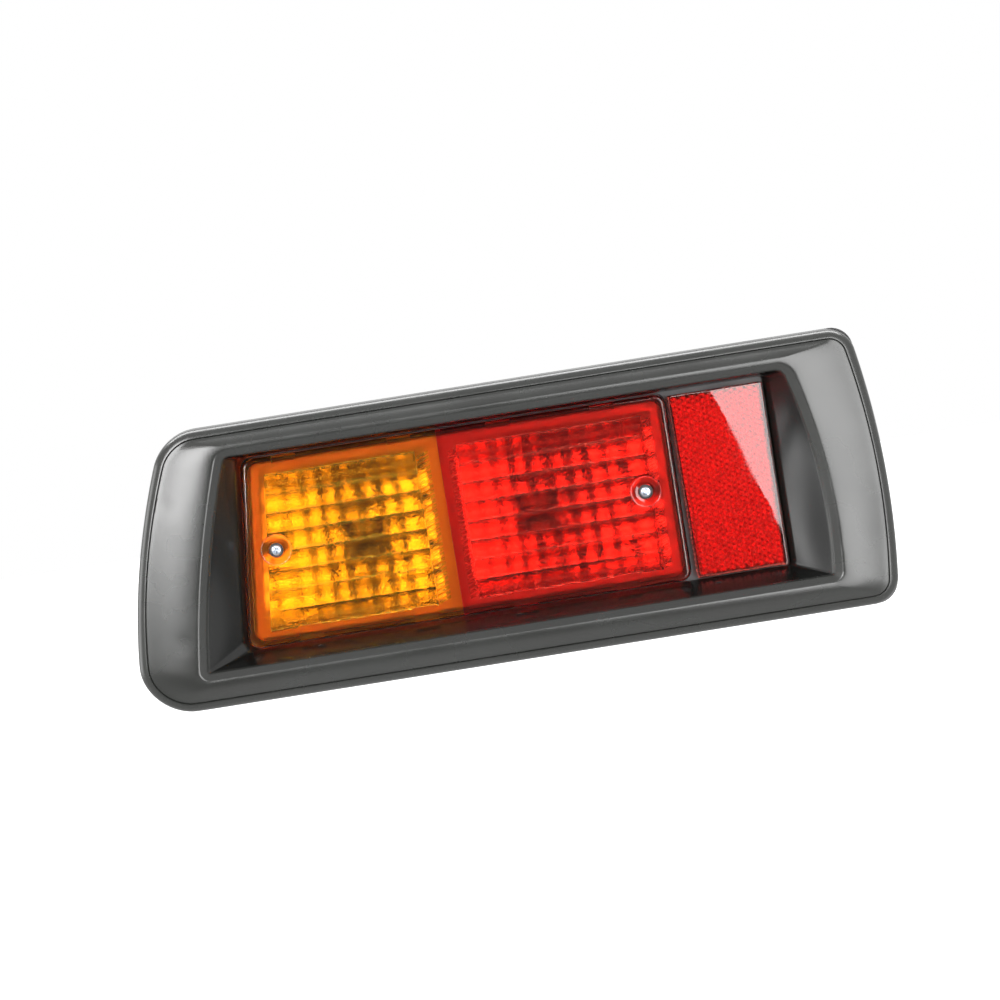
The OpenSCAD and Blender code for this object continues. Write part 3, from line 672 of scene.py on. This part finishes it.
def build_lens():
    """One moulding of two colours: shell, flutes, dashes, tabs, pads and a dished boss for each screw."""
    top = PAIR["quad"][2][1] - SKIRT
    bottom = PAIR["quad"][0][1] + SKIRT
    inside = dict(PAIR, radii=[8.5] * 4)
    outer = [(1.6, LENS_Y), (0.99, LENS_Y + 0.12), (0.47, LENS_Y + 0.47), (0.12, LENS_Y + 0.99),
             (0, LENS_Y + 1.6), (0, SKIRT_END - 0.1), (0.1, SKIRT_END)]
    inner = [(SKIRT - 0.1, SKIRT_END), (SKIRT, SKIRT_END - 0.1), (SKIRT, 5.3), (SKIRT + 0.25, 4.75),
             (SKIRT + 0.8, LENS_Y + LENS_WALL)]
    lens = solid(add_capped, [at_depth(ring(PAIR, d), y) for d, y in outer]
                 + [at_depth(ring(inside, d), y) for d, y in inner])
    combine(lens, "UNION",
            solid(add_flutes, lambda z: amber_edge(z) + BORDER_LEFT, lambda z: -39.0),
            solid(add_flutes, lambda z: -18.4, lambda z: 74.6),
            solid(add_dashes, -38.6, -32.4, 2.2), solid(add_dashes, -22.8, -18.6, 1.6),
            solid(add_dashes, 74.9, 79, 1.6))
    for x in (-104, -46, 4, 56):
        for z in (bottom - 0.5, top - 1.5):
            combine(lens, "UNION", solid(add_box, (x - 6, LENS_Y + 1, z), (x + 6, SKIRT_END - 1.0, z + 2)))
        for z in (bottom + 0.7, FLUTE_TOP + 1.2):
            combine(lens, "UNION", solid(add_box, (x - 6, LENS_Y + 1, z), (x + 6, PAD_Y, z + 4.6)))
    for x, z in (AMBER_SCREW, RED_SCREW):
        combine(lens, "UNION", solid(add_turned, (x, 0, z), [
            (0, 3), (8, 3), (8, 6.6), (7.8, 6.8), (4.4, 6.8), (4.4, 11.6), (4.3, 11.7), (0, 11.7)]))
        combine(lens, "DIFFERENCE", solid(add_turned, (x, 0, z), [
            (0, 1), (7.9, 1), (7.9, 1.95), (7.5, 2.4), (7.1, 2.5), (5.4, 2.5), (5.2, 2.9), (3.9, 3.0),
            (3.7, 3.2), (2.3, 3.2), (2.3, 13), (0, 13)]))
    slit = 0.01
    for side, name, colour in ((-1, "amber_lens", "amber"), (1, "red_lens", "red")):
        half = lens.copy()
        half.data = lens.data.copy()
        bpy.context.collection.objects.link(half)
        low, high = (-200, SEAM - slit) if side < 0 else (SEAM + slit, 200)
        combine(half, "INTERSECT", solid(add_box, (low, -5, -60), (high, 30, 60)))
        if side > 0:
            web = solid(add_box, (SEAM + slit, LENS_Y + 1, -42.4), (SEAM + 2.2, SKIRT_END - 1, 49))
            combine(half, "UNION", web)
        half.data.materials.clear()
        half.data.materials.append(MAT[colour])
        half.data.materials.append(MAT[colour + "_inner"])
        half.data.materials.append(MAT[colour + "_edge"])
        for face in half.data.polygons:
            c = face.center / MM
            in_rows = FLUTE_TOP - FLUTE_ROWS * FLUTE_PITCH < c.z < FLUTE_TOP
            inside = amber_edge(c.z) + BORDER_LEFT - 0.1 < c.x < 79.2 and not -32.3 < c.x < -22.9
            behind = c.y > LENS_Y + LENS_WALL - 0.1
            raised = LENS_Y + LENS_WALL + 0.02 < c.y < LENS_Y + LENS_WALL + 2.1
            boss = min(math.hypot(c.x - x, c.z - z) for x, z in (AMBER_SCREW, RED_SCREW)) < 8.25
            stippled = in_rows and inside and raised and not boss
            face.material_index = 0 if not behind else 1 if stippled else 2
        adopt(half, name + "_moulding", "lens", colour + "_acrylic", [], name)
    bpy.data.objects.remove(lens)


build_lens()

# ---- Reflectors ----


TROUGH_Y = 34          # depth of a reflector's trough behind its bulb
TROUGH_RISE = 18       # how much shallower it is at its ends
BULGE = 0.3            # how far a facet's middle stands out


def trough_y(x, x_bulb, reach):
    return TROUGH_Y - TROUGH_RISE * ((x - x_bulb) / reach) ** 2


def add_facets(bm, x_bulb, reach, y_shift):
    """Everything in front of a trough made of upright convex facets in three bands."""
    width, samples, riser = 8.5, 6, 0.03
    facet_tilt = 0.8       # share of the trough's slope that each facet follows
    columns = 2 * math.ceil(reach / width) + 1
    xs, ys = [], []
    for k in range(columns):
        middle = x_bulb + (k - (columns - 1) / 2) * width
        depth = trough_y(middle, x_bulb, reach)
        slope = -2 * TROUGH_RISE * (middle - x_bulb) / reach ** 2
        for n in range(samples + 1):
            u = n / samples - 0.5
            xs.append(middle + u * (width - riser))
            ys.append(depth + facet_tilt * slope * u * width - BULGE * (1 - 4 * u * u))
    bands = [(-60, -27 - riser, -16, -2), (-27 + riser, 34 - riser, 0, 0), (34 + riser, 60, -2, -12)]
    levels = [level for low, high, first, last in bands for level in ((low, first), (high, last))]
    front = [[bm.verts.new(Vector((x, -20, z)) * MM) for x in xs] for z, _ in levels]
    back = [[bm.verts.new(Vector((x, y + step + y_shift, z)) * MM) for x, y in zip(xs, ys)]
            for z, step in levels]
    add_sheet(bm, front)
    add_sheet(bm, back)
    add_sides(bm, front, back)


def build_reflector(name, shape, side, x_bulb, reach, screw, slot_x, posts):
    """Thin mirrored bowl with a hole for its bulb, a notch for the lens post and its own screw posts."""
    cup = dict(quad=shape["quad"], radii=[6] * 4, bow=(0, 0))
    flange = dict(quad=PAIR["quad"], radii=[6] * 4, bow=(0, 0))
    body = solid(add_facets, x_bulb, reach, 1.5)
    combine(body, "INTERSECT", solid(add_stack, cup, [(6, RIM_Y), (6, FLOOR_Y - 5)]))
    rim = solid(add_stack, flange, [(3.4, RIM_Y), (3.4, LEDGE_Y)])
    low, high = (-200, SEAM) if side < 0 else (SEAM + 0.1, 200)
    combine(rim, "INTERSECT", solid(add_box, (low, 0, -60), (high, 30, 60)))
    combine(body, "UNION", rim)
    for x, z in posts:
        combine(body, "UNION", solid(add_rod, x, z, 3, trough_y(x, x_bulb, reach) - 0.2, FLOOR_Y - 0.3))
    hollow = solid(add_facets, x_bulb, reach, 0)
    combine(hollow, "INTERSECT", solid(add_stack, cup, [
        (7.0, RIM_Y - 1), (7.4, RIM_Y + 0.5), (7.5, RIM_Y + 1.5), (7.5, FLOOR_Y)]))
    slots = [solid(add_box, (slot_x, RIM_Y + 2, z), (slot_x + 5.5, FLOOR_Y, z + 3))
             for z in (31, 15, -8, -23)]
    combine(body, "DIFFERENCE", hollow, solid(add_rod, x_bulb, LAMP_Z, 13.6, RIM_Y - 1, FLOOR_Y),
            solid(add_rod, *screw, 4.6, RIM_Y - 1, FLOOR_Y), *slots,
            *[solid(add_rod, x, z, 1.4, 40, FLOOR_Y) for x, z in posts])
    body.data.materials.clear()
    body.data.materials.append(MAT["mirror"])
    body.data.materials.append(MAT["mirror_rim"])
    for face in body.data.polygons:
        face.material_index = int(face.center.y / MM < RIM_Y + 1.6)
    adopt(body, name + "_moulding", "root", "metallised_plastic", [], name, sharp=14)


build_reflector("amber_reflector", AMBER, -1, AMBER_BULB[0], 62, AMBER_SCREW, -41,
                posts=[(-104, -20), (-42, 28)])
build_reflector("red_reflector", RED, 1, STOP_BULB[0], 66, RED_SCREW, 60,
                posts=[(-12, -22), (60, 28)])

# ---- Reflex reflector ----


def add_corner_cubes(bm, spacing, y_front, y_low, x0, x1, z0, z1):
    """A slab whose back is a honeycomb of cube corners."""
    row_height = spacing * math.sqrt(3) / 2
    level_step = spacing * math.sqrt(0.5)
    columns = int((x1 - x0) / spacing)
    rows = int((z1 - z0) / row_height)
    front, back = [], []
    for j in range(rows):
        z = z0 + j * row_height
        line = [(x0 + (i + 0.5 * (j % 2)) * spacing, z) for i in range(columns)]
        levels = [(i - j // 2 + 2 * j) % 3 for i in range(columns)]
        front.append([bm.verts.new(Vector((x, y_front, z)) * MM) for x, z in line])
        back.append([bm.verts.new(Vector((x, y_low + level * level_step, z)) * MM)
                     for (x, z), level in zip(line, levels)])
    for grid in (front, back):
        for j in range(rows - 1):
            a, b = grid[j], grid[j + 1]
            for i in range(columns - 1):
                if j % 2 == 0:
                    bm.faces.new((a[i], a[i + 1], b[i]))
                    bm.faces.new((a[i + 1], b[i + 1], b[i]))
                else:
                    bm.faces.new((a[i], b[i + 1], b[i]))
                    bm.faces.new((a[i], a[i + 1], b[i + 1]))
    add_sides(bm, front, back)


def build_reflex():
    """A plate with a rim behind and cube corners, with a painted shade for each of their three sides: light,
    mid and dark copies of one red metal.
    """
    plate = solid(add_stack, REFLEX, [
        (0.9, LENS_Y), (0.5, LENS_Y + 0.1), (0.2, LENS_Y + 0.35), (0.05, LENS_Y + 0.7), (0, LENS_Y + 1),
        (0, 6.9), (0.1, 7.0), (1.4, 7.0), (1.5, 6.9), (1.5, 2.7)])
    cubes = solid(add_corner_cubes, 1.6, 2.6, 3.1, 84, 142, -48, 54)
    combine(cubes, "INTERSECT", solid(add_stack, REFLEX, [(1.2, 2.5), (1.2, 6.8)]))
    combine(plate, "UNION", cubes)
    plate.data.materials.clear()
    plate.data.materials.append(MAT["reflex"])
    for k in range(3):
        plate.data.materials.append(MAT["prism_%d" % k])
    for face in plate.data.polygons:
        # Painted light and shade: each cube-corner face takes the light, mid or dark copy of the red metal by
        # the way it faces.
        side = round(math.degrees(math.atan2(face.normal.z, face.normal.x)) / 120) % 3
        prism = 0.5 < abs(face.normal.y) < 0.65 and 2.8 < face.center.y / MM < 5.6
        face.material_index = 1 + side if prism else 0
    adopt(plate, "reflex_lens_moulding", "root", "reflex_acrylic", [], "reflex_lens", sharp=20)


build_reflex()

# ---- Bulbs ----


def build_bulb(kind, x, pins, depths, tips):
    """Bayonet bulb: pins are (angle, depth), depths are the filaments', tips are places across."""
    place = (x, 0, LAMP_Z)
    body = kind + "_bulb"
    r, t, centre_y = 12.5, 0.6, 26.5
    steps, last = 24, math.radians(125)
    arc = [(math.sin(last * k / steps), math.cos(last * k / steps)) for k in range(steps + 1)]
    outer = [(r * s, centre_y - r * c) for s, c in arc]
    inner = [((r - t) * s, centre_y - (r - t) * c) for s, c in reversed(arc)]
    neck = [(8.4, 36.2), (7.3, 38), (6.9, 40), (6.9, 44.5), (6.3, 44.5), (6.3, 40), (6.8, 37.8), (7.9, 36)]
    glass = solid(add_turned, place, outer + neck + inner, (0, 1, 0), 64)
    adopt(glass, kind + "_bulb_envelope", body, "clear_glass", [MAT["glass"]], kind + "_bulb_glass")
    base = solid(add_turned, place, [
        (7.0, 40.5), (7.35, 40.5), (7.5, 40.8), (7.5, 43), (7.3, 43.4), (7.5, 43.8),
        (7.5, 57.1), (7.2, 57.5), (6.9, 57.5), (6.9, 41)], (0, 1, 0), 64)
    for angle, y in pins:
        out = (math.cos(math.radians(angle)), 0, math.sin(math.radians(angle)))
        combine(base, "UNION", solid(add_turned, (x, y, LAMP_Z), [
            (0, 7.2), (1, 7.2), (1, 8.4), (0.8, 8.7), (0, 8.8)], out, 24))
    adopt(base, kind + "_bulb_cap", body, "brass", [MAT["brass"]], kind + "_bulb_base")
    bm = bmesh.new()
    add_turned(bm, place, [(0, 33), (1.6, 33.2), (2.2, 34.5), (2.4, 38), (2.6, 43.5), (0, 43.5)])
    for i, y in enumerate(depths):
        for s in (-1, 1):
            add_wire(bm, [(x + s * 1.2, 34 + i * 0.6, LAMP_Z), (x + s * 2.0, 32, LAMP_Z + 0.5 * i),
                          (x + s * 3.0, y + 2.5, LAMP_Z), (x + s * 3.3, y + 0.6, LAMP_Z),
                          (x + s * 3.3, y - 0.2, LAMP_Z)], 0.3)
        add_wire(bm, helix((x - 3.4, y, LAMP_Z), (1, 0, 0), 0.5, 6.8, 18), 0.1, 6)
    adopt(finish_mesh("wires", bm), kind + "_bulb_wires", body, "lamp_wire", [MAT["wire"]],
          kind + ("_bulb_filament" if kind == "amber" else "_bulb_filaments"))
    bm = bmesh.new()
    add_turned(bm, place, [(0, 55.5), (6.8, 55.5), (6.9, 56.9), (6.5, 57.4), (0, 57.4)])
    for dx in tips:
        add_turned(bm, (x + dx, 0, LAMP_Z), [
            (0, 57), (1.8, 57), (1.75, 57.8), (1.3, 58.6), (0.6, 58.95), (0, 59)])
    adopt(finish_mesh("contacts", bm), kind + "_bulb_contacts", body, "solder", [MAT["solder"]],
          kind + ("_bulb_tip" if kind == "amber" else "_bulb_tips"))


build_bulb("amber", AMBER_BULB[0], [(0, 52), (180, 52)], [25], [0])
build_bulb("stop", STOP_BULB[0], [(0, 52), (180, 55)], [22.5, 27], [-2.8, 2.8])

# ---- Screws, studs and springs ----


def build_lens_screws():
    """Domed screws with a cross recess and a tapping thread."""
    for name, (x, z), turn in (("amber_lens_screw", AMBER_SCREW, 20), ("red_lens_screw", RED_SCREW, -12)):
        screw = solid(add_turned, (x, 0, z), [
            (0, 0.95), (1.6, 1.0), (2.3, 1.25), (2.7, 1.75), (2.8, 2.2), (2.75, 2.6), (1.9, 2.6), (1.55, 3.0),
            (1.55, 8.2), (0, 8.2)])
        thread = solid(add_thread, x, z, 1.95, 8, 30, 1.4, 0.5, 3.0)
        combine(screw, "UNION", thread)
        for a in (turn, turn + 90):
            c, s = math.cos(math.radians(a)), math.sin(math.radians(a))
            corners = lambda w, h: [(x + c * u - s * v, z + s * u + c * v)
                                    for u, v in ((-w, -h), (w, -h), (w, h), (-w, h))]
            slot = solid(add_capped, [at_depth(corners(2.0, 0.5), 0.6), at_depth(corners(0.8, 0.35), 2.5)])
            combine(screw, "DIFFERENCE", slot)
        adopt(screw, name, "lens", "zinc_steel", [MAT["steel"]], "lens_screws")


def build_studs():
    """Threaded studs with the heads that are moulded into the bezel."""
    for i, (x, z) in enumerate(STUDS):
        bm = bmesh.new()
        add_turned(bm, (x, 0, z), [
            (0, -11), (3.7, -11), (3.7, -8.5), (3, -8.5), (3, -0.6), (2.1, -0.4), (0, -0.4)])
        add_thread(bm, x, z, 2.5, -0.5, 22, 0.8, 0.35, 0.8)
        adopt(finish_mesh("stud", bm), "mounting_stud_%d" % (i + 1), "root", "zinc_steel", [MAT["steel"]],
              "mounting_studs")


def build_springs():
    """Coil springs behind the bulbs' contact plates, swept at one fixed length."""
    front, pocket, pushed = 60.3, 64, 1.5
    wire = 0.32
    for kind, x, places, r, name in (("amber", AMBER_BULB[0], [0], 3.6, "amber_contact_spring"),
                                     ("stop", STOP_BULB[0], [-2.8, 2.8], 2.0, "stop_contact_springs")):
        bm = bmesh.new()
        for dx in places:
            add_wire(bm, helix((x + dx, front + wire + 0.02, LAMP_Z), (0, 1, 0), r, 3.0, 3.5, 20), wire)
        spring = adopt(finish_mesh("spring", bm), name + "_wire", kind + "_bulb_holder", "spring_steel",
                       [MAT["spring"]], name)
        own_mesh(spring)


build_lens_screws()
build_studs()
build_springs()
